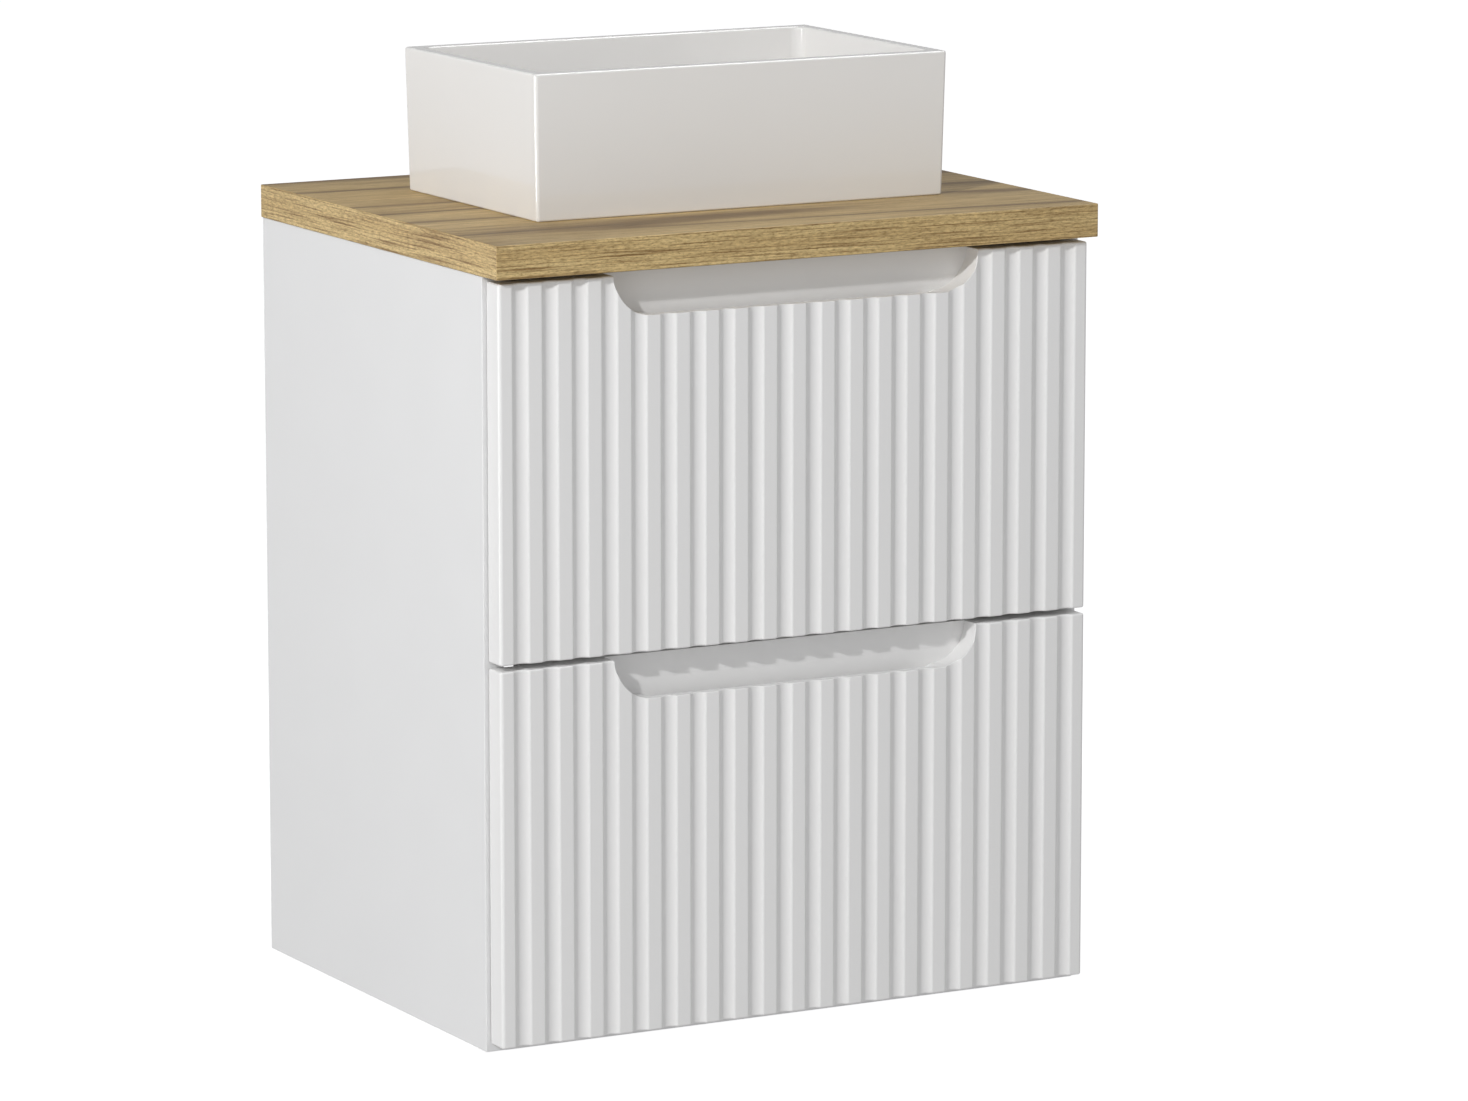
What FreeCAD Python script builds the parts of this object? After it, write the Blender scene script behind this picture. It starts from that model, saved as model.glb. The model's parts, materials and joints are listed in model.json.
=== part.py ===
import FreeCAD, Part
import math
import os

# Wall-hung vanity, 500 mm wide: an oak-faced countertop with a rectangular ceramic vessel basin, over a white carcass
# with two fluted drawers. Lengths in mm. +Z is up, the front faces -Y, +X is right as seen from the front.
# Heights below are counted from the underside of the carcass and depths from the wall. On export everything moves
# down by ORIGIN_Z, so that the origin lies in the wall plane, midway between the two wall bolts of the hanging rail.

os.makedirs("parts", exist_ok=True)

# ---- driving dimensions ---------------------------------------------------------------------------------------
TOP_W = 500.0            # countertop
TOP_D = 400.0
TOP_T = 25.0
TOP_EDGE_R = 0.8
CARCASS_H = 570.0
CARCASS_W = 497.0        # the countertop overhangs each side by 1.5
CARCASS_FRONT = -373.5   # front edge of the side panels
BOARD = 16.0             # carcass board

FRONT_FACE = -393.5      # outer face of the drawer fronts, 6.5 behind the countertop's edge
FRONT_T = 19.0
FRONT_W = 490.0
FRONT_EDGE_R = 2.5
UPPER_Z = (289.0, 566.0)
LOWER_Z = (6.0, 284.5)

FLUTES = 20
FLUTE_PITCH = 24.0
FLUTE_R = 8.5
FLUTE_DEPTH = 3.0
FLUTE_BLEND = 2.0         # rounding between a flute and the flat beside it
FRONT_TOP_R = 1.5         # rounding along the fluted top and bottom edges
SCOOP_EDGE_R = 0.5        # rounding along the edge of the finger cut-out

SCOOP_HALF = 151.5       # half width of the finger cut-out at the top edge of a front
SCOOP_H = 30.0
SCOOP_R = 30.0
LIP_T = 8.0              # front lip left before the rebate that the fingers hook behind
REBATE_H = 12.0

BASIN_C = (4.0, -192.3)
BASIN_BOTTOM = (340.5, 214.0)
BASIN_TOP = (345.0, 218.4)
BASIN_H = 108.5
BASIN_WALL = 10.0
BASIN_FLOOR = 14.0

RUNNER_L = 300.0
RUNNER_H = 45.0
RUNNER_GAP = 13.0        # between side panel and drawer side
DRAWER_T = 12.0
DRAWER_BACK = -62.5
UPPER_BOX = (312.0, 472.0)
LOWER_BOX = (26.0, 196.0)
CUT_HALF = 70.0          # clear half width of the siphon cut-out
CUT_FRONT = -245.0

DRAIN_R = 20.5
PIPE_R = 16.0
PIPE_IN = 14.5
OUTLET_Z = 412.0

ORIGIN_Z = 508.0         # height of the wall bolts

# ---- helpers ---------------------------------------------------------------------------------------------------
V = FreeCAD.Vector
X_AXIS, Y_AXIS, Z_AXIS = V(1, 0, 0), V(0, 1, 0), V(0, 0, 1)


def box(x0, x1, y0, y1, z0, z1):
    return Part.makeBox(x1 - x0, y1 - y0, z1 - z0, V(x0, y0, z0))


def cyl(r, length, at, axis):
    return Part.makeCylinder(r, length, V(*at), axis)


def tube(r_out, r_in, length, at, axis):
    return cyl(r_out, length, at, axis).cut(cyl(r_in, length, at, axis))


def hexagon(across_flats, length, at, axis_name):
    r = across_flats / math.sqrt(3)
    pts = []
    for i in range(7):
        a = math.radians(60 * i)
        u, v = r * math.cos(a), r * math.sin(a)
        pts.append(V(at[0] + u, at[1] + v, at[2]) if axis_name == "z" else V(at[0] + u, at[1], at[2] + v))
    face = Part.Face(Part.makePolygon(pts))
    return face.extrude(V(0, 0, length) if axis_name == "z" else V(0, length, 0))


def plate(x0, x1, y0, y1, z0, z1, r):
    """A board with all its edges eased by r."""
    solid = box(x0, x1, y0, y1, z0, z1)
    return solid.makeFillet(r, solid.Edges) if r else solid


def extrude_poly(points, direction):
    return Part.Face(Part.makePolygon([V(*p) for p in points] + [V(*points[0])])).extrude(direction)


def rounded(cx, cy, w, d, r, z):
    x0, x1, y0, y1 = cx - w / 2, cx + w / 2, cy - d / 2, cy + d / 2
    k = r * (1 - math.sqrt(0.5))
    edges = [
        Part.makeLine(V(x0 + r, y0, z), V(x1 - r, y0, z)),
        Part.Arc(V(x1 - r, y0, z), V(x1 - k, y0 + k, z), V(x1, y0 + r, z)).toShape(),
        Part.makeLine(V(x1, y0 + r, z), V(x1, y1 - r, z)),
        Part.Arc(V(x1, y1 - r, z), V(x1 - k, y1 - k, z), V(x1 - r, y1, z)).toShape(),
        Part.makeLine(V(x1 - r, y1, z), V(x0 + r, y1, z)),
        Part.Arc(V(x0 + r, y1, z), V(x0 + k, y1 - k, z), V(x0, y1 - r, z)).toShape(),
        Part.makeLine(V(x0, y1 - r, z), V(x0, y0 + r, z)),
        Part.Arc(V(x0, y0 + r, z), V(x0 + k, y0 + k, z), V(x0 + r, y0, z)).toShape(),
    ]
    return Part.Wire(edges)


def fillet_where(solid, r, test):
    edges = [e for e in solid.Edges if test(e)]
    return solid.makeFillet(r, edges) if edges else solid


def group(shapes):
    return shapes[0] if len(shapes) == 1 else Part.makeCompound(shapes)


def export(name, shape):
    moved = shape.copy()
    moved.translate(V(0, 0, -ORIGIN_Z))
    for s in moved.Solids:
        if not s.isValid() or s.Volume <= 0:
            print("INVALID", name, s.Volume)
    moved.exportStep("parts/%s.step" % name)


HALF = CARCASS_W / 2          # outer face of the side panels
INNER = HALF - BOARD          # inner face of the side panels
DRAWER = INNER - RUNNER_GAP   # outer face of the drawer sides
FRONT_BACK = FRONT_FACE + FRONT_T
SUB_BACK = FRONT_BACK + DRAWER_T

# ---- carcass ---------------------------------------------------------------------------------------------------
left_side = plate(-HALF, -INNER, CARCASS_FRONT, 0, 0, CARCASS_H, 0.6)
right_side = plate(INNER, HALF, CARCASS_FRONT, 0, 0, CARCASS_H, 0.6)
bottom = box(-INNER, INNER, CARCASS_FRONT, 0, 0, BOARD)
stretcher = box(-INNER, INNER, -355, -275, CARCASS_H - BOARD, CARCASS_H)
rear_top = box(-INNER, INNER, -32, -16, 470, CARCASS_H)
rear_bottom = box(-INNER, INNER, -16, 0, BOARD, 96)

# wooden dowels, 8 x 30, between the side panels and the cross boards
dowels = []


def dowel(y, z, boards):
    """One dowel at each side, 10 into the side panel and 20 into the cross board; returns the bored boards."""
    for side in (-1, 1):
        start = side * (INNER + 10)
        dowels.append(cyl(4, 30, (start, y, z), V(-side, 0, 0)))
    return [b.cut(group(dowels[-2:])) for b in boards]


for y in (-330.0, -190.0, -50.0):
    left_side, right_side, bottom = dowel(y, 8.0, [left_side, right_side, bottom])
for y in (-335.0, -295.0):
    left_side, right_side, stretcher = dowel(y, 562.0, [left_side, right_side, stretcher])
for z in (490.0, 550.0):
    left_side, right_side, rear_top = dowel(-24.0, z, [left_side, right_side, rear_top])
for z in (40.0, 75.0):
    left_side, right_side, rear_bottom = dowel(-8.0, z, [left_side, right_side, rear_bottom])

# ---- countertop ------------------------------------------------------------------------------------------------
top = plate(-TOP_W / 2, TOP_W / 2, -TOP_D, 0, CARCASS_H, CARCASS_H + TOP_T, TOP_EDGE_R)
top = top.cut(cyl(25, TOP_T + 2, (BASIN_C[0], BASIN_C[1], CARCASS_H - 1), Z_AXIS))
deck = CARCASS_H + TOP_T

# two wood screws hold the countertop down through the front stretcher
top_screws = []
for x in (-150.0, 150.0):
    head = cyl(4.5, 2.5, (x, -315, CARCASS_H - BOARD - 2.5), Z_AXIS)
    shank = cyl(2.2, BOARD + 16, (x, -315, CARCASS_H - BOARD), Z_AXIS)
    top_screws.append(head.fuse(shank).removeSplitter())
    stretcher = stretcher.cut(shank)
    top = top.cut(shank)

# ---- basin -----------------------------------------------------------------------------------------------------
bx, by = BASIN_C
rim = deck + BASIN_H
outer = Part.makeLoft(
    [rounded(bx, by, BASIN_BOTTOM[0], BASIN_BOTTOM[1], 2.5, deck), rounded(bx, by, BASIN_TOP[0], BASIN_TOP[1], 2.5, rim)],
    True, True)
mouth = (BASIN_TOP[0] - 2 * BASIN_WALL, BASIN_TOP[1] - 2 * BASIN_WALL)
pit = (mouth[0] - 12, mouth[1] - 12)
floor_z = deck + BASIN_FLOOR
bowl = Part.makeLoft(
    [rounded(bx, by, pit[0], pit[1], 9, floor_z),
     rounded(bx, by, mouth[0] + 0.6, mouth[1] + 0.6, 9, rim + 5)],
    True, True)
bowl = fillet_where(bowl, 8, lambda e: e.BoundBox.ZMax < floor_z + 0.01)
basin = outer.cut(bowl)
basin = fillet_where(basin, 1.8, lambda e: e.BoundBox.ZMin > rim - 0.01)
basin = fillet_where(basin, 1.5, lambda e: e.BoundBox.ZMax < deck + 0.01)
# waste hole, with a shallow seat for the flange of the waste
basin = basin.cut(cyl(22.5, 40, (bx, by, deck - 5), Z_AXIS))
basin = basin.cut(cyl(33.5, 20, (bx, by, floor_z - 4.0), Z_AXIS))

# ---- basin waste -----------------------------------------------------------------------------------------------
seat = floor_z - 4.0
top_gasket = tube(32, DRAIN_R, 1.5, (bx, by, seat), Z_AXIS)
tail_end = 545.0
flange = cyl(32.5, 3.0, (bx, by, seat + 1.5), Z_AXIS)
flange = fillet_where(flange, 1.0, lambda e: e.BoundBox.ZMin > seat + 4.4)
waste = flange.fuse(cyl(DRAIN_R, seat + 1.5 - tail_end, (bx, by, tail_end), Z_AXIS)).removeSplitter()
waste = waste.cut(cyl(17.5, 200, (bx, by, tail_end - 1), Z_AXIS))
waste = waste.cut(Part.makeCone(17.5, 26.5, 3.4, V(bx, by, seat + 1.2), Z_AXIS))
hub_z = (572.0, 586.0)
spider = cyl(7, hub_z[1] - hub_z[0], (bx, by, hub_z[0]), Z_AXIS)
for a in (0, 120, 240):
    arm = box(0, 18.2, -1.2, 1.2, hub_z[0] + 2, hub_z[1] - 4)
    arm.rotate(V(0, 0, 0), Z_AXIS, a)
    arm.translate(V(bx, by, 0))
    spider = spider.fuse(arm)
waste = waste.fuse(spider).removeSplitter()
waste = waste.cut(cyl(4.35, 40, (bx, by, hub_z[0] - 5), Z_AXIS))
lower_gasket = tube(29, DRAIN_R, 3, (bx, by, CARCASS_H - 3), Z_AXIS)
lock_nut = hexagon(54, 8, (bx, by, CARCASS_H - 11), "z").cut(cyl(DRAIN_R, 20, (bx, by, CARCASS_H - 15), Z_AXIS))

# push-down stopper: a domed cap on a stem that slides in the hub; it stands open, CAP_LIFT above its seat
CAP_LIFT = 7.0
cap_low = seat + 4.5 + CAP_LIFT
cap = cyl(29.0, 3.0, (bx, by, cap_low), Z_AXIS)
cap = fillet_where(cap, 1.4, lambda e: e.BoundBox.ZMin > cap_low + 2.9)
stem = cyl(4.0, cap_low - 566.0, (bx, by, 566.0), Z_AXIS)
stem = stem.fuse(cyl(11, 2, (bx, by, cap_low - 2), Z_AXIS))
cap = cap.fuse(stem).removeSplitter()
cap_seal = tube(17.0, 11, 2.0, (bx, by, cap_low - 2.0), Z_AXIS)

# ---- bottle trap -----------------------------------------------------------------------------------------------
inlet_nut = hexagon(52, 16, (bx, by, 536), "z")
inlet_nut = inlet_nut.cut(cyl(DRAIN_R, 20, (bx, by, 539), Z_AXIS)).cut(cyl(PIPE_R, 30, (bx, by, 530), Z_AXIS))
tailpiece = cyl(PIPE_R, 545 - 372, (bx, by, 372), Z_AXIS).fuse(cyl(19.5, 3, (bx, by, 542), Z_AXIS)).removeSplitter()
tailpiece = tailpiece.cut(cyl(PIPE_IN, 200, (bx, by, 370), Z_AXIS))
trap_body = cyl(30, 54, (bx, by, 380), Z_AXIS).fuse(cyl(21, 14, (bx, by, 434), Z_AXIS))
branch = cyl(20, 58, (bx, by, OUTLET_Z), Y_AXIS)
trap_body = trap_body.fuse(branch).removeSplitter()
trap_body = trap_body.cut(cyl(27.5, 51, (bx, by, 379), Z_AXIS)).cut(cyl(PIPE_R, 60, (bx, by, 400), Z_AXIS))
trap_body = trap_body.cut(cyl(PIPE_R, 20, (bx, by + 38.5, OUTLET_Z), Y_AXIS)).cut(cyl(14, 50, (bx, by, OUTLET_Z), Y_AXIS))
neck_nut = hexagon(50, 12, (bx, by, 440), "z")
neck_nut = neck_nut.cut(cyl(21, 8, (bx, by, 440), Z_AXIS)).cut(cyl(PIPE_R, 30, (bx, by, 430), Z_AXIS))
cup = cyl(33, 46.5, (bx, by, 344), Z_AXIS)
cup = fillet_where(cup, 8, lambda e: e.BoundBox.ZMax < 344.01)
# twelve grip ribs round the cup
for i in range(12):
    a = math.radians(30 * i + 15)
    rib = cyl(1.6, 26, (bx + 33 * math.cos(a), by + 33 * math.sin(a), 360), Z_AXIS)
    cup = cup.fuse(rib)
cup = cup.removeSplitter()
cup = cup.cut(cyl(30, 20, (bx, by, 380), Z_AXIS)).cut(cyl(27.5, 60, (bx, by, 347.5), Z_AXIS))
outlet_nut = hexagon(48, 12, (bx, by + 50, OUTLET_Z), "y")
outlet_nut = outlet_nut.cut(cyl(20, 8, (bx, by + 50, OUTLET_Z), Y_AXIS)).cut(cyl(PIPE_R, 30, (bx, by + 45, OUTLET_Z), Y_AXIS))
# plain-ended outlet pipe to the wall plane, with a bead that stops the wall sleeve
pipe_start = by + 38.5
waste_pipe = cyl(PIPE_R, -pipe_start, (bx, pipe_start, OUTLET_Z), Y_AXIS)
waste_pipe = waste_pipe.fuse(cyl(18.0, 2.0, (bx, -42.0, OUTLET_Z), Y_AXIS)).removeSplitter()
waste_pipe = waste_pipe.cut(cyl(PIPE_IN, 200, (bx, pipe_start - 5, OUTLET_Z), Y_AXIS))

# ---- wall hanging ----------------------------------------------------------------------------------------------
RAIL_HALF = 215.0
rail_section = [(-2, 496), (0, 496), (0, 520), (-7, 520), (-7, 540), (-9, 540), (-9, 518), (-2, 518)]
wall_rail = extrude_poly([(-RAIL_HALF, y, z) for y, z in rail_section], V(2 * RAIL_HALF, 0, 0))
for x in (-160.0, 160.0):
    wall_rail = wall_rail.cut(cyl(4.25, 6, (x, -4, ORIGIN_Z), Y_AXIS))

hook_section = [(-16, 498), (-13, 498), (-13, 540), (-5, 540), (-5, 524), (-2, 524), (-2, 543), (-16, 543)]
brackets, hanger_screws = [], []
for side in (-1, 1):
    x0 = side * 175.0 - 28
    hook = extrude_poly([(x0, y, z) for y, z in hook_section], V(56, 0, 0))
    for dx in (10.0, 46.0):
        shank = cyl(2.2, 17.5, (x0 + dx, -30.5, 526), Y_AXIS)
        head = cyl(4.3, 2.2, (x0 + dx, -13, 526), Y_AXIS)
        hanger_screws.append(shank.fuse(head).removeSplitter())
        hook = hook.cut(shank)
        rear_top = rear_top.cut(shank)
    brackets.append(hook)

# ---- drawer runners --------------------------------------------------------------------------------------------
# Ball-bearing side runners in three members; s counts from the side panel's inner face towards the drawer.


def channel(side, s_web, web, s_from, s_to, half, t, y0, y1, z):
    """A C-channel along Y: its web, and a flange of thickness t above and below, up to half from the centre height z."""
    a, b = sorted((side * (INNER - s_web), side * (INNER - s_web - web)))
    c, d = sorted((side * (INNER - s_from), side * (INNER - s_to)))
    shape = box(a, b, y0, y1, z - half, z + half)
    shape = shape.fuse(box(c, d, y0, y1, z + half - t, z + half))
    return shape.fuse(box(c, d, y0, y1, z - half, z - half + t)).removeSplitter()


def x_screw(side, s_head, head_t, s_end, r_head, r, y, z):
    """A pan-head screw along X: head on the side that s_head names, shank on to s_end."""
    towards = 1 if s_end > s_head else -1
    inward = -side * towards
    x_head = side * (INNER - s_head)
    head = cyl(r_head, head_t, (x_head - inward * head_t, y, z), V(inward, 0, 0))
    shank = cyl(r, abs(s_end - s_head), (x_head, y, z), V(inward, 0, 0))
    return head.fuse(shank).removeSplitter(), shank


R_FRONT = -370.0
runner_nodes = {}
cabinet_screws = []
drawer_screws = {"upper": [], "lower": []}
screw_holes = {"upper": {-1: [], 1: []}, "lower": {-1: [], 1: []}}
RUNNER_Z = {"upper": UPPER_BOX[0] + 40, "lower": LOWER_BOX[0] + 40}
for level in ("upper", "lower"):
    z = RUNNER_Z[level]
    for side, word in ((-1, "left"), (1, "right")):
        outer_m = channel(side, 0, 1.2, 0, 11.0, RUNNER_H / 2, 1.2, R_FRONT, R_FRONT + RUNNER_L, z)
        mid_m = channel(side, 3.2, 1.0, 3.2, 11.4, 18.0, 1.0, R_FRONT + 2, R_FRONT + 292, z)
        inner_m = channel(side, 11.8, 1.2, 5.4, 13.0, 14.0, 1.0, SUB_BACK, SUB_BACK + RUNNER_L, z)
        for y in (-340.0, -220.0, -100.0):
            screw, shank = x_screw(side, 1.2, 1.4, -10.0, 3.4, 1.8, y, z)
            cabinet_screws.append(screw)
            outer_m = outer_m.cut(shank)
            if side < 0:
                left_side = left_side.cut(shank)
            else:
                right_side = right_side.cut(shank)
        for y in (-330.0, -210.0, -90.0):
            screw, shank = x_screw(side, 11.8, 1.4, 13.0 + 9.0, 3.4, 1.8, y, z)
            drawer_screws[level].append(screw)
            screw_holes[level][side].append(shank)
            inner_m = inner_m.cut(shank)
        runner_nodes["%s_runner_cabinet_%s" % (level, word)] = outer_m
        runner_nodes["%s_runner_middle_%s" % (level, word)] = mid_m
        runner_nodes["%s_runner_drawer_%s" % (level, word)] = inner_m

# ---- fluted drawer fronts --------------------------------------------------------------------------------------


def fluted_front(z0, z1):
    """A board with concave flutes over its full height, rounded outer edges, and a finger cut-out in its top edge."""
    w, f, b, r = FRONT_W / 2, FRONT_FACE, FRONT_BACK, FRONT_EDGE_R
    k = r * (1 - math.sqrt(0.5))
    # each flute: a blend out of the flat, the concave arc, and a blend back; the blends sit inside the board
    q = FLUTE_BLEND
    rise = FLUTE_R - FLUTE_DEPTH + q
    half = math.sqrt((FLUTE_R + q) ** 2 - rise ** 2)
    share = FLUTE_R / (FLUTE_R + q)
    in_x, in_y = half * share, f - (FLUTE_R - FLUTE_DEPTH) + rise * share
    mid = math.atan2(half, rise) / 2
    mid_x, mid_y = half - q * math.sin(mid), f + q - q * math.cos(mid)
    edges = [Part.makeLine(V(-w, b, z0), V(-w, f + r, z0)),
             Part.Arc(V(-w, f + r, z0), V(-w + k, f + k, z0), V(-w + r, f, z0)).toShape()]
    x = -w + r
    for i in range(FLUTES):
        c = (i - (FLUTES - 1) / 2) * FLUTE_PITCH
        edges.append(Part.makeLine(V(x, f, z0), V(c - half, f, z0)))
        edges.append(Part.Arc(V(c - half, f, z0), V(c - mid_x, mid_y, z0), V(c - in_x, in_y, z0)).toShape())
        edges.append(Part.Arc(V(c - in_x, in_y, z0), V(c, f + FLUTE_DEPTH, z0), V(c + in_x, in_y, z0)).toShape())
        edges.append(Part.Arc(V(c + in_x, in_y, z0), V(c + mid_x, mid_y, z0), V(c + half, f, z0)).toShape())
        x = c + half
    edges += [Part.makeLine(V(x, f, z0), V(w - r, f, z0)),
              Part.Arc(V(w - r, f, z0), V(w - k, f + k, z0), V(w, f + r, z0)).toShape(),
              Part.makeLine(V(w, f + r, z0), V(w, b, z0)),
              Part.makeLine(V(w, b, z0), V(-w, b, z0))]
    board = Part.Face(Part.Wire(edges)).extrude(V(0, 0, z1 - z0))
    board = fillet_where(board, FRONT_TOP_R, lambda e: e.BoundBox.ZLength < 0.01 and e.BoundBox.YMin < b - 0.1)
    # cut-out with quarter-round ends, right through the board
    low, s, q = z1 - SCOOP_H, SCOOP_HALF, SCOOP_R
    m = q * (1 - math.sqrt(0.5))
    y = f - 2
    outline = Part.Wire([
        Part.makeLine(V(-s, y, z1 + 2), V(-s, y, z1)),
        Part.Arc(V(-s, y, z1), V(-s + m, y, low + m), V(-s + q, y, low)).toShape(),
        Part.makeLine(V(-s + q, y, low), V(s - q, y, low)),
        Part.Arc(V(s - q, y, low), V(s - m, y, low + m), V(s, y, z1)).toShape(),
        Part.makeLine(V(s, y, z1), V(s, y, z1 + 2)),
        Part.makeLine(V(s, y, z1 + 2), V(-s, y, z1 + 2)),
    ])
    board = board.cut(Part.Face(outline).extrude(V(0, FRONT_T + 4, 0)))

    def on_scoop_front(e):
        bb = e.BoundBox
        if bb.YMax > f + FLUTE_DEPTH + 0.5 or bb.ZMin < low - 0.6 or bb.XMin < -s - 0.3 or bb.XMax > s + 0.3:
            return False
        p = e.valueAt((e.FirstParameter + e.LastParameter) / 2)
        return abs(p.x) > s - q + 0.01 or abs(p.z - low) < 0.01

    board = fillet_where(board, SCOOP_EDGE_R, on_scoop_front)
    # rebate behind the lip, open to the back, for the fingertips
    y = f + LIP_T
    e = s - q + 3
    rebate = extrude_poly(
        [(-e, y, low + 1), (-e + 26, y, low - REBATE_H), (e - 26, y, low - REBATE_H), (e, y, low + 1)],
        V(0, FRONT_T, 0))
    return board.cut(rebate)


def drawer_front_group(level, z0, z1, screw_z):
    """Fluted front, the box front behind it, the screws that join them, and the rubber bumpers on the front's back."""
    front = fluted_front(z0, z1)
    box_z = UPPER_BOX if level == "upper" else LOWER_BOX
    sub = box(-DRAWER, DRAWER, FRONT_BACK, SUB_BACK, box_z[0], z1)
    screws = []
    for x in (-186.0, 186.0):
        for z in screw_z:
            shank = cyl(2.1, DRAWER_T + 11, (x, FRONT_BACK - 11, z), Y_AXIS)
            head = cyl(4.2, 2.2, (x, SUB_BACK, z), Y_AXIS)
            screws.append(shank.fuse(head).removeSplitter())
            front = front.cut(shank)
            sub = sub.cut(shank)
    bumpers = []
    for x in (-240.5, 240.5):
        for z in (z0 + 14, z1 - 14):
            bumpers.append(cyl(3.5, 0.95, (x, FRONT_BACK, z), Y_AXIS))
    return front, sub, screws, bumpers


# ---- drawer boxes ----------------------------------------------------------------------------------------------
BASE_T = 8.0
GROOVE = 5.0


def seat_on(base, boards):
    return [b.cut(base) for b in boards]


# lower drawer: a plain box
zl0, zl1 = LOWER_BOX
l_front, l_sub, l_screws, l_bumpers = drawer_front_group("lower", LOWER_Z[0], LOWER_Z[1], (70.0, 165.0))
l_left = box(-DRAWER, -DRAWER + DRAWER_T, SUB_BACK, DRAWER_BACK, zl0, zl1)
l_right = box(DRAWER - DRAWER_T, DRAWER, SUB_BACK, DRAWER_BACK, zl0, zl1)
l_back = box(-DRAWER + DRAWER_T, DRAWER - DRAWER_T, DRAWER_BACK - DRAWER_T, DRAWER_BACK, zl0, zl1)
l_base = box(-DRAWER + DRAWER_T - GROOVE, DRAWER - DRAWER_T + GROOVE, SUB_BACK - GROOVE, DRAWER_BACK - DRAWER_T + GROOVE,
             zl0 + 8, zl0 + 8 + BASE_T)
l_sub, l_left, l_right, l_back = seat_on(l_base, [l_sub, l_left, l_right, l_back])

# upper drawer: the same box with a U-shaped cut-out round the trap, open to the back
zu0, zu1 = UPPER_BOX
WALL = CUT_HALF + DRAWER_T
u_front, u_sub, u_screws, u_bumpers = drawer_front_group("upper", UPPER_Z[0], UPPER_Z[1], (355.0, 450.0))
u_left = box(-DRAWER, -DRAWER + DRAWER_T, SUB_BACK, DRAWER_BACK, zu0, zu1)
u_right = box(DRAWER - DRAWER_T, DRAWER, SUB_BACK, DRAWER_BACK, zu0, zu1)
u_back_left = box(-DRAWER + DRAWER_T, -WALL, DRAWER_BACK - DRAWER_T, DRAWER_BACK, zu0, zu1)
u_back_right = box(WALL, DRAWER - DRAWER_T, DRAWER_BACK - DRAWER_T, DRAWER_BACK, zu0, zu1)
u_cut_left = box(-WALL, -CUT_HALF, CUT_FRONT - DRAWER_T, DRAWER_BACK, zu0, zu1)
u_cut_right = box(CUT_HALF, WALL, CUT_FRONT - DRAWER_T, DRAWER_BACK, zu0, zu1)
u_cut_front = box(-CUT_HALF, CUT_HALF, CUT_FRONT - DRAWER_T, CUT_FRONT, zu0, zu1)
u_base = box(-DRAWER + DRAWER_T - GROOVE, DRAWER - DRAWER_T + GROOVE, SUB_BACK - GROOVE, DRAWER_BACK - DRAWER_T + GROOVE,
             zu0 + 8, zu0 + 8 + BASE_T)
u_base = u_base.cut(box(-WALL + GROOVE, WALL - GROOVE, CUT_FRONT - DRAWER_T + GROOVE, 0, zu0, zu1))
(u_sub, u_left, u_right, u_back_left, u_back_right, u_cut_left, u_cut_right, u_cut_front) = seat_on(
    u_base, [u_sub, u_left, u_right, u_back_left, u_back_right, u_cut_left, u_cut_right, u_cut_front])

for shank in screw_holes["lower"][-1]:
    l_left = l_left.cut(shank)
for shank in screw_holes["lower"][1]:
    l_right = l_right.cut(shank)
for shank in screw_holes["upper"][-1]:
    u_left = u_left.cut(shank)
for shank in screw_holes["upper"][1]:
    u_right = u_right.cut(shank)

# ---- export ----------------------------------------------------------------------------------------------------
nodes = {
    "carcass_side_left": left_side,
    "carcass_side_right": right_side,
    "carcass_bottom": bottom,
    "carcass_front_stretcher": stretcher,
    "carcass_rear_top_rail": rear_top,
    "carcass_rear_bottom_rail": rear_bottom,
    "carcass_dowels": group(dowels),
    "countertop": top,
    "countertop_screws": group(top_screws),
    "basin": basin,
    "waste_top_gasket": top_gasket,
    "waste_body": waste,
    "waste_lower_gasket": lower_gasket,
    "waste_lock_nut": lock_nut,
    "stopper_cap": cap,
    "stopper_seal": cap_seal,
    "trap_inlet_nut": inlet_nut,
    "trap_tailpiece": tailpiece,
    "trap_neck_nut": neck_nut,
    "trap_body": trap_body,
    "trap_cup": cup,
    "trap_outlet_nut": outlet_nut,
    "waste_pipe": waste_pipe,
    "wall_rail": wall_rail,
    "hanger_brackets": group(brackets),
    "hanger_screws": group(hanger_screws),
    "runner_cabinet_screws": group(cabinet_screws),
    "upper_drawer_front": u_front,
    "upper_drawer_box_front": u_sub,
    "upper_drawer_side_left": u_left,
    "upper_drawer_side_right": u_right,
    "upper_drawer_back_boards": group([u_back_left, u_back_right]),
    "upper_drawer_cutout_left": u_cut_left,
    "upper_drawer_cutout_right": u_cut_right,
    "upper_drawer_cutout_front": u_cut_front,
    "upper_drawer_base": u_base,
    "upper_drawer_front_screws": group(u_screws),
    "upper_drawer_bumpers": group(u_bumpers),
    "upper_runner_drawer_screws": group(drawer_screws["upper"]),
    "lower_drawer_front": l_front,
    "lower_drawer_box_front": l_sub,
    "lower_drawer_side_left": l_left,
    "lower_drawer_side_right": l_right,
    "lower_drawer_back": l_back,
    "lower_drawer_base": l_base,
    "lower_drawer_front_screws": group(l_screws),
    "lower_drawer_bumpers": group(l_bumpers),
    "lower_runner_drawer_screws": group(drawer_screws["lower"]),
}
nodes.update(runner_nodes)
for name in sorted(nodes):
    export(name, nodes[name])
print(len(nodes), "nodes")
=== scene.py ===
import json
import math

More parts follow.
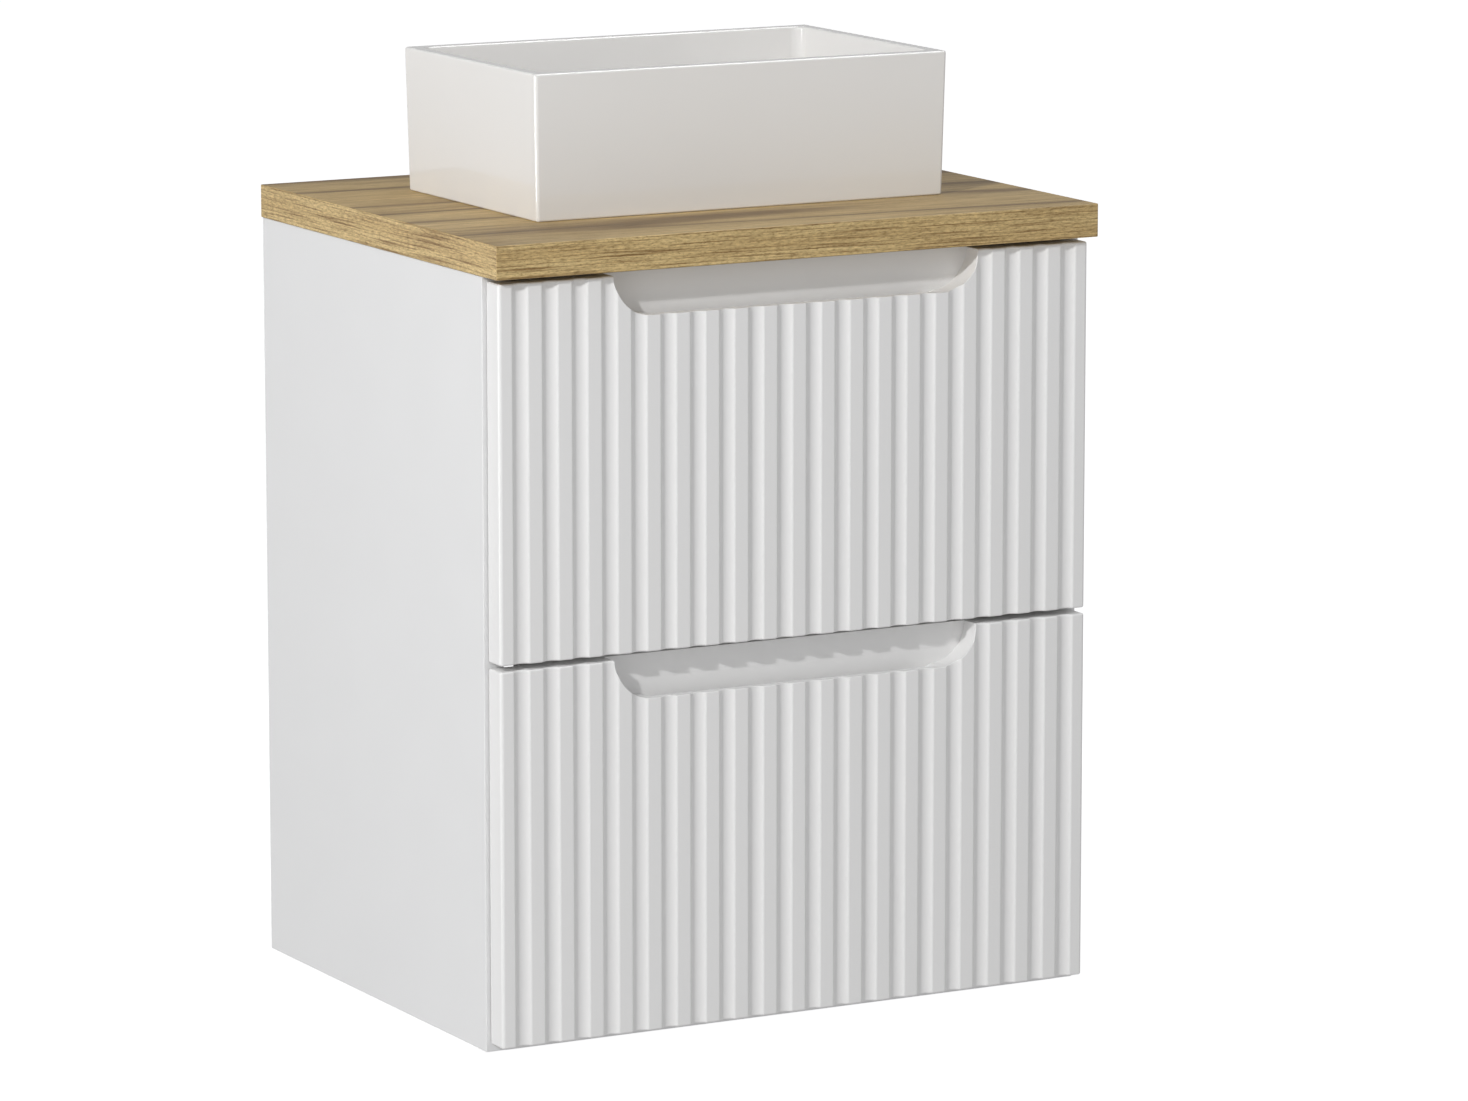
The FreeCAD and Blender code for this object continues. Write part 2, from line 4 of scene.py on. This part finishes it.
import bpy
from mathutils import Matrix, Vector


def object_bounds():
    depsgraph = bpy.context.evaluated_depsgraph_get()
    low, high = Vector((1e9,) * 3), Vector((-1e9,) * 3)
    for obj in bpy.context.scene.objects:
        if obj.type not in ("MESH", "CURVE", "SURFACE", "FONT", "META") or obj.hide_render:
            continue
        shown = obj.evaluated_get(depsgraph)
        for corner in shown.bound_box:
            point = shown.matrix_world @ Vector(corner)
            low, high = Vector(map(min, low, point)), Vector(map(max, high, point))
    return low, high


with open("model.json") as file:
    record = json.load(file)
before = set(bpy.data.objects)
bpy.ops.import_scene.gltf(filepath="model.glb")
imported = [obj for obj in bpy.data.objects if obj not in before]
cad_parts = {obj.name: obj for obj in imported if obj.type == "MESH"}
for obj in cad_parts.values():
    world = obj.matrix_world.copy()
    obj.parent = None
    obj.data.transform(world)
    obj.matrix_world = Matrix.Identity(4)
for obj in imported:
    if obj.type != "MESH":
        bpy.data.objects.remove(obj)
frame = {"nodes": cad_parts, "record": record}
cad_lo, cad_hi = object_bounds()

scene = bpy.context.scene
nodes = frame["nodes"]


# ---- small node-tree helpers -----------------------------------------------------------------------------------
class Tree:
    """A material's node tree with short calls for the nodes used here. Coordinates are the row frame, in metres."""

    def __init__(self, name):
        self.mat = bpy.data.materials.new(name)
        self.mat.use_nodes = True
        self.nt = self.mat.node_tree
        self.nt.nodes.clear()
        self.out = self.nt.nodes.new("ShaderNodeOutputMaterial")
        self.bsdf = self.nt.nodes.new("ShaderNodeBsdfPrincipled")
        self.nt.links.new(self.bsdf.outputs["BSDF"], self.out.inputs["Surface"])
        self.coord = self.nt.nodes.new("ShaderNodeTexCoord").outputs["Object"]

    def link(self, a, b):
        self.nt.links.new(a, b)

    def mapping(self, scale=(1, 1, 1), rot=(0, 0, 0), loc=(0, 0, 0), vector=None):
        m = self.nt.nodes.new("ShaderNodeMapping")
        m.inputs["Scale"].default_value = scale
        m.inputs["Rotation"].default_value = rot
        m.inputs["Location"].default_value = loc
        self.link(vector or self.coord, m.inputs["Vector"])
        return m.outputs["Vector"]

    def noise(self, vector, scale=1.0, detail=2.0, rough=0.5, distortion=0.0):
        n = self.nt.nodes.new("ShaderNodeTexNoise")
        n.inputs["Scale"].default_value = scale
        n.inputs["Detail"].default_value = detail
        n.inputs["Roughness"].default_value = rough
        n.inputs["Distortion"].default_value = distortion
        self.link(vector, n.inputs["Vector"])
        return n.outputs["Fac"]

    def ramp(self, fac, stops, mode="LINEAR"):
        r = self.nt.nodes.new("ShaderNodeValToRGB")
        r.color_ramp.interpolation = mode
        els = r.color_ramp.elements
        while len(els) < len(stops):
            els.new(0.5)
        for e, (p, c) in zip(els, stops):
            e.position = p
            e.color = (c[0], c[1], c[2], 1.0) if hasattr(c, "__len__") else (c, c, c, 1.0)
        self.link(fac, r.inputs["Fac"])
        return r.outputs["Color"]

    def mix(self, fac, a, b, mode="MIX"):
        m = self.nt.nodes.new("ShaderNodeMix")
        m.data_type = "RGBA"
        m.blend_type = mode
        if hasattr(fac, "is_output"):
            self.link(fac, m.inputs[0])
        else:
            m.inputs[0].default_value = fac
        for v, s in ((a, m.inputs[6]), (b, m.inputs[7])):
            if hasattr(v, "is_output"):
                self.link(v, s)
            else:
                s.default_value = (v[0], v[1], v[2], 1.0)
        return m.outputs[2]

    def math(self, op, a, b=None, c=None):
        m = self.nt.nodes.new("ShaderNodeMath")
        m.operation = op
        for i, v in enumerate((a, b, c)):
            if v is None:
                continue
            if hasattr(v, "is_output"):
                self.link(v, m.inputs[i])
            else:
                m.inputs[i].default_value = v
        return m.outputs[0]

    def span(self, fac, lo, hi, from_lo=0.0, from_hi=1.0):
        m = self.nt.nodes.new("ShaderNodeMapRange")
        m.inputs["From Min"].default_value = from_lo
        m.inputs["From Max"].default_value = from_hi
        m.inputs["To Min"].default_value = lo
        m.inputs["To Max"].default_value = hi
        self.link(fac, m.inputs["Value"])
        return m.outputs["Result"]

    def bump(self, height, strength, distance, normal=None):
        b = self.nt.nodes.new("ShaderNodeBump")
        b.inputs["Strength"].default_value = strength
        b.inputs["Distance"].default_value = distance
        self.link(height, b.inputs["Height"])
        if normal is not None:
            self.link(normal, b.inputs["Normal"])
        return b.outputs["Normal"]

    def set(self, **kw):
        for k, v in kw.items():
            s = self.bsdf.inputs[k.replace("_", " ")]
            if hasattr(v, "is_output"):
                self.link(v, s)
            elif hasattr(v, "__len__"):
                s.default_value = (*v, 1.0) if len(v) == 3 and len(s.default_value) == 4 else v
            else:
                s.default_value = v
        return self.mat


def painted(name, colour, rough, vary=0.012, bump=0.05, grain=900.0, spec=0.5, coat=0.0, coat_rough=0.1):
    """A sprayed or moulded surface: a little drift in tone, a little drift in gloss, a very fine orange peel."""
    t = Tree(name)
    drift = t.noise(t.mapping(), 3.0, 3.0, 0.5)
    fine = t.noise(t.mapping(), grain, 2.0, 0.6)
    lo = tuple(c * (1 - vary) for c in colour)
    hi = tuple(min(1.0, c * (1 + vary)) for c in colour)
    col = t.ramp(drift, [(0.3, lo), (0.7, hi)])
    gloss = t.span(t.noise(t.mapping(), 14.0, 4.0, 0.6), rough * 0.85, rough * 1.15, 0.3, 0.7)
    return t.set(
        Base_Color=col, Roughness=gloss, Normal=t.bump(fine, bump, 0.0002), Specular_IOR_Level=spec,
        Coat_Weight=coat, Coat_Roughness=coat_rough,
    )


# ---- materials -------------------------------------------------------------------------------------------------
def lacquer():
    """Sprayed satin lacquer over milled MDF."""
    return painted("white_lacquer", (0.855, 0.851, 0.845), 0.36, 0.006, 0.06, 700.0, 0.40)


def melamine():
    """Melamine-faced board: a faint fine pearl texture pressed into the surface."""
    t = Tree("white_board")
    drift = t.noise(t.mapping(), 2.0, 3.0)
    pearl = t.noise(t.mapping(), 1600.0, 1.0, 0.5)
    col = t.ramp(drift, [(0.3, (0.790, 0.790, 0.792)), (0.7, (0.804, 0.804, 0.804))])
    gloss = t.span(t.noise(t.mapping(), 20.0, 3.0), 0.36, 0.46, 0.3, 0.7)
    return t.set(Base_Color=col, Roughness=gloss, Normal=t.bump(pearl, 0.1, 0.0002), Specular_IOR_Level=0.45)


def drawer_board():
    """The drawer boxes' pale grey linen-print board: fine crossed threads."""
    t = Tree("drawer_board")
    warp = t.noise(t.mapping((2500, 60, 60)), 1.0, 1.0)
    weft = t.noise(t.mapping((60, 2500, 2500)), 1.0, 1.0)
    threads = t.mix(0.5, warp, weft)
    col = t.ramp(threads, [(0.35, (0.635, 0.625, 0.605)), (0.65, (0.695, 0.685, 0.665))])
    gloss = t.span(t.noise(t.mapping(), 30.0, 3.0), 0.45, 0.58, 0.3, 0.7)
    return t.set(Base_Color=col, Roughness=gloss, Normal=t.bump(threads, 0.15, 0.0002))


def oak():
    """Oak-faced board. On top the figure runs along X; each edge is banded, with its grain along the edge."""
    t = Tree("oak")
    sep = t.nt.nodes.new("ShaderNodeSeparateXYZ")
    t.link(t.coord, sep.inputs[0])
    x, y, z = sep.outputs["X"], sep.outputs["Y"], sep.outputs["Z"]
    nrm = t.nt.nodes.new("ShaderNodeSeparateXYZ")
    t.link(t.nt.nodes.new("ShaderNodeNewGeometry").outputs["True Normal"], nrm.inputs[0])
    is_top = t.span(t.math("ABSOLUTE", nrm.outputs["Z"]), 0.0, 1.0, 0.70, 0.74)
    is_end = t.span(t.math("ABSOLUTE", nrm.outputs["X"]), 0.0, 1.0, 0.70, 0.74)

    def vec(a, b, c):
        v = t.nt.nodes.new("ShaderNodeCombineXYZ")
        for k, s in enumerate((a, b, c)):
            if hasattr(s, "is_output"):
                t.link(s, v.inputs[k])
            else:
                v.inputs[k].default_value = s
        return v.outputs[0]

    # the faces: pale wood with long tapering brown flames, darker along one side
    face = vec(x, y, 0.0)
    waver = t.noise(t.mapping((1.6, 6.0, 1), vector=face), 1.0, 2.0, 0.5)
    yy = t.math("ADD", y, t.math("MULTIPLY", waver, 0.030))
    face2 = vec(x, yy, 0.0)
    flame = t.noise(t.mapping((0.9, 11.0, 1), loc=(0.37, 0.47, 0), vector=face2), 1.0, 2.0, 0.45)
    ridge = t.math("ABSOLUTE", t.math("SUBTRACT", flame, 0.5))
    flames = t.ramp(ridge, [(0.0, 1.0), (0.014, 0.80), (0.045, 0.30), (0.11, 0.0)])
    tone = t.noise(t.mapping((1.2, 9.0, 1), loc=(4.0, 2.0, 0), vector=face2), 1.0, 3.0, 0.5)
    veins = t.noise(t.mapping((4.0, 150.0, 1), vector=face2), 1.0, 4.0, 0.6)
    top = t.ramp(tone, [(0.28, (0.400, 0.270, 0.110)), (0.48, (0.540, 0.385, 0.170)), (0.70, (0.610, 0.450, 0.215))])
    top = t.mix(t.math("MULTIPLY", flames, 0.85), top, (0.160, 0.092, 0.034))
    top = t.mix(1.0, top, t.ramp(veins, [(0.28, (0.66, 0.60, 0.52)), (0.5, (1.0, 1.0, 1.0)), (0.72, (1.10, 1.10, 1.08))]), "MULTIPLY")

    # the edges: fine parallel lines, closer and yellower than the face
    along = t.mix(is_end, vec(x, x, x), vec(y, y, y))
    asep = t.nt.nodes.new("ShaderNodeSeparateXYZ")
    t.link(along, asep.inputs[0])
    s_along = asep.outputs["X"]
    sag = t.noise(t.mapping((5.0, 1, 1), vector=vec(s_along, 0.0, 0.0)), 1.0, 2.0, 0.5)
    zz = t.math("ADD", z, t.math("MULTIPLY", sag, 0.006))
    edge = vec(s_along, zz, 0.0)
    lines = t.noise(t.mapping((12.0, 700.0, 1), vector=edge), 1.0, 2.0, 0.60)
    tint = t.noise(t.mapping((3.5, 55.0, 1), vector=edge), 1.0, 2.0, 0.5)
    side = t.ramp(tint, [(0.30, (0.475, 0.335, 0.150)), (0.55, (0.565, 0.420, 0.200)), (0.75, (0.625, 0.478, 0.240))])
    side = t.mix(1.0, side, t.ramp(lines, [(0.34, (0.46, 0.38, 0.30)), (0.45, (0.84, 0.81, 0.77)), (0.57, (1.10, 1.10, 1.09))]), "MULTIPLY")

    # fibres and pores everywhere, drawn out along the grain
    grain_top = vec(x, y, 0.0)
    fibre = t.mix(is_top, t.noise(t.mapping((170, 800, 1), vector=edge), 1.0, 2.0, 0.6), t.noise(t.mapping((26, 1000, 1), vector=grain_top), 1.0, 3.0, 0.7))
    pores = t.mix(is_top, t.noise(t.mapping((420, 1000, 1), vector=edge), 1.0, 2.0, 0.6), t.noise(t.mapping((110, 1500, 1), vector=grain_top), 1.0, 2.0, 0.6))
    base = t.mix(is_top, side, top)
    base = t.mix(1.0, base, t.ramp(fibre, [(0.28, (0.62, 0.57, 0.48)), (0.5, (1.0, 1.0, 1.0)), (0.72, (1.28, 1.27, 1.22))]), "MULTIPLY")
    base = t.mix(0.75, base, t.ramp(pores, [(0.30, (0.55, 0.48, 0.38)), (0.43, (1.0, 1.0, 1.0)), (0.70, (1.10, 1.10, 1.10))]), "MULTIPLY")
    height = t.math("ADD", t.math("MULTIPLY", fibre, 0.7), t.math("MULTIPLY", pores, 0.6))
    gloss = t.span(fibre, 0.62, 0.48, 0.3, 0.7)
    return t.set(Base_Color=base, Roughness=gloss, Normal=t.bump(height, 0.30, 0.0005), Specular_IOR_Level=0.32)


def ceramic():
    """Vitreous china under a clear glaze that pools very slightly unevenly."""
    t = Tree("white_ceramic")
    drift = t.noise(t.mapping(), 5.0, 3.0)
    col = t.ramp(drift, [(0.3, (0.872, 0.858, 0.836)), (0.7, (0.892, 0.880, 0.862))])
    wave = t.noise(t.mapping(), 22.0, 2.0, 0.4)
    gloss = t.span(t.noise(t.mapping(), 60.0, 2.0), 0.05, 0.09, 0.3, 0.7)
    return t.set(Base_Color=col, Roughness=gloss, Normal=t.bump(wave, 0.03, 0.002), Specular_IOR_Level=0.5, Coat_Weight=0.35, Coat_Roughness=0.03)


def beech():
    t = Tree("beech")
    fleck = t.noise(t.mapping((40, 1400, 1400)), 1.0, 3.0, 0.6)
    col = t.ramp(fleck, [(0.3, (0.44, 0.27, 0.14)), (0.7, (0.60, 0.41, 0.24))])
    return t.set(Base_Color=col, Roughness=t.span(fleck, 0.55, 0.7), Normal=t.bump(fleck, 0.2, 0.0003))


def metal(name, lo, hi, rough, stretch, scale, bump):
    t = Tree(name)
    lines = t.noise(t.mapping(stretch), scale, 3.0, 0.6)
    blot = t.noise(t.mapping(), 60.0, 3.0, 0.6)
    col = t.mix(t.span(lines, 0.0, 1.0, 0.3, 0.7), lo, hi)
    gloss = t.span(blot, rough * 0.75, rough * 1.25, 0.3, 0.7)
    return t.set(Base_Color=col, Metallic=1.0, Roughness=gloss, Normal=t.bump(lines, bump, 0.0001))


def rubber(name, lo, hi, rough):
    t = Tree(name)
    n = t.noise(t.mapping(), 900.0, 3.0, 0.6)
    return t.set(Base_Color=t.ramp(n, [(0.3, lo), (0.7, hi)]), Roughness=t.span(n, rough, rough + 0.12), Normal=t.bump(n, 0.2, 0.0002), Specular_IOR_Level=0.35)


made = {
    "white_lacquer": lacquer(),
    "white_board": melamine(),
    "drawer_board": drawer_board(),
    "oak": oak(),
    "beech": beech(),
    "white_ceramic": ceramic(),
    "chrome": metal("chrome", (0.60, 0.61, 0.63), (0.68, 0.69, 0.71), 0.09, (1, 1, 1), 300.0, 0.02),
    "brass_nut": metal("brass_nut", (0.48, 0.34, 0.13), (0.58, 0.43, 0.19), 0.28, (1, 1, 12), 180.0, 0.15),
    "zinc_plated_steel": metal("zinc_plated_steel", (0.42, 0.43, 0.45), (0.54, 0.55, 0.57), 0.30, (1, 0.06, 1), 900.0, 0.12),
    "white_plastic": painted("white_plastic", (0.78, 0.78, 0.77), 0.36, 0.012, 0.08, 1200.0, 0.5),
    "black_rubber": rubber("black_rubber", (0.020, 0.020, 0.021), (0.035, 0.035, 0.036), 0.62),
    "clear_rubber": rubber("clear_rubber", (0.55, 0.55, 0.53), (0.64, 0.64, 0.62), 0.35),
}

slot_of = {s["node"]: s["material_slot"] for s in frame["record"]["subparts"]}
for name, obj in nodes.items():
    obj.data.materials.clear()
    obj.data.materials.append(made[slot_of[name]])
    for p in obj.data.polygons:
        p.material_index = 0

# ---- stage: pale floor, camera, soft light ---------------------------------------------------------------------
centre = (cad_lo + cad_hi) / 2
FLOOR_Z = cad_lo.z - 0.16


def floor_plane(name, size, z, colour, glow):
    """A large square floor with a slow tonal drift."""
    mesh = bpy.data.meshes.new(name)
    s = size / 2
    mesh.from_pydata([(-s, -s, z), (s, -s, z), (s, s, z), (-s, s, z)], [], [(0, 1, 2, 3)])
    obj = bpy.data.objects.new(name, mesh)
    scene.collection.objects.link(obj)
    t = Tree(name)
    n = t.noise(t.mapping(), 0.8, 2.0)
    t.set(Base_Color=t.ramp(n, [(0.3, tuple(c * 0.99 for c in colour)), (0.7, colour)]), Roughness=0.9,
          Emission_Color=(1.0, 1.0, 1.0), Emission_Strength=glow, Specular_IOR_Level=0.0)
    mesh.materials.append(t.mat)
    return obj


seen_floor = floor_plane("floor", 60.0, FLOOR_Z, (0.80, 0.80, 0.80), 0.68)
seen_floor.visible_diffuse = False
seen_floor.visible_glossy = False
bounce_floor = floor_plane("floor_bounce", 12.0, FLOOR_Z - 0.001, (0.74, 0.735, 0.73), 0.20)
bounce_floor.visible_camera = False
bounce_floor.visible_shadow = False

world = bpy.data.worlds.new("studio")
scene.world = world
world.use_nodes = True
wt = world.node_tree
wt.nodes.clear()
wout = wt.nodes.new("ShaderNodeOutputWorld")
wbg = wt.nodes.new("ShaderNodeBackground")
wt.links.new(wbg.outputs[0], wout.inputs[0])
wcoord = wt.nodes.new("ShaderNodeTexCoord")
wsep = wt.nodes.new("ShaderNodeSeparateXYZ")
wt.links.new(wcoord.outputs["Generated"], wsep.inputs[0])
wramp = wt.nodes.new("ShaderNodeValToRGB")
wmap = wt.nodes.new("ShaderNodeMapRange")
wmap.inputs["From Min"].default_value = -0.2
wmap.inputs["From Max"].default_value = 1.0
wt.links.new(wsep.outputs["Z"], wmap.inputs["Value"])
wt.links.new(wmap.outputs[0], wramp.inputs[0])
wramp.color_ramp.elements[0].color = (1.0, 0.998, 0.99, 1)
wramp.color_ramp.elements[1].color = (0.60, 0.61, 0.63, 1)
wt.links.new(wramp.outputs["Color"], wbg.inputs["Color"])
wbg.inputs["Strength"].default_value = 0.61


def area(name, azimuth, elevation, distance, size, power, colour=(1, 1, 1)):
    """A square soft box aimed at the object's middle. Azimuth counts from the front, positive to the left."""
    a, e = math.radians(azimuth), math.radians(elevation)
    d = Vector((-math.sin(a) * math.cos(e), -math.cos(a) * math.cos(e), math.sin(e)))
    light = bpy.data.lights.new(name, "AREA")
    light.shape = "SQUARE"
    light.size = size
    light.energy = power
    light.color = colour
    obj = bpy.data.objects.new(name, light)
    obj.location = centre + d * distance
    obj.rotation_euler = (-d).to_track_quat("-Z", "Y").to_euler()
    scene.collection.objects.link(obj)
    return obj


KEY_DISTANCE = 4.0
# an area light of power P gives irradiance P / (pi * distance^2) facing it
area("key", 58.5, 29.5, KEY_DISTANCE, 0.13, 0.42 * math.pi * math.pi * KEY_DISTANCE**2)
# a broad low soft box at the left: lights what faces left, and leaves the left ends of the finger cut-outs darker
fill = area("fill", 66.0, 6.0, 4.0, 2.6, 0.12 * math.pi * math.pi * 4.0**2)
fill.visible_glossy = False
fill.visible_camera = False

# two soft boxes that show only in glazed and lacquered surfaces, as the bright lines along the basin's edges
for name, azimuth, elevation, size, glow in (("strip", 102.0, 4.0, 1.5, 17.0), ("overhead", -70.0, 66.0, 2.2, 8.0)):
    box_light = area(name, azimuth, elevation, 3.4, size, glow * math.pi * math.pi * size * size / math.pi)
    box_light.visible_diffuse = False
    box_light.visible_camera = False

cam_data = bpy.data.cameras.new("camera")
cam_data.sensor_width = 36.0
cam_data.lens = 172.97
cam_data.clip_end = 100.0
cam = bpy.data.objects.new("camera", cam_data)
cam.location = (-2.46618, -4.84775, 0.75487)
cam.rotation_euler = (math.radians(79.87), 0.0, math.radians(-28.433))
scene.collection.objects.link(cam)
scene.camera = cam

scene.view_settings.view_transform = "Standard"
scene.view_settings.look = "None"
scene.cycles.use_denoising = True
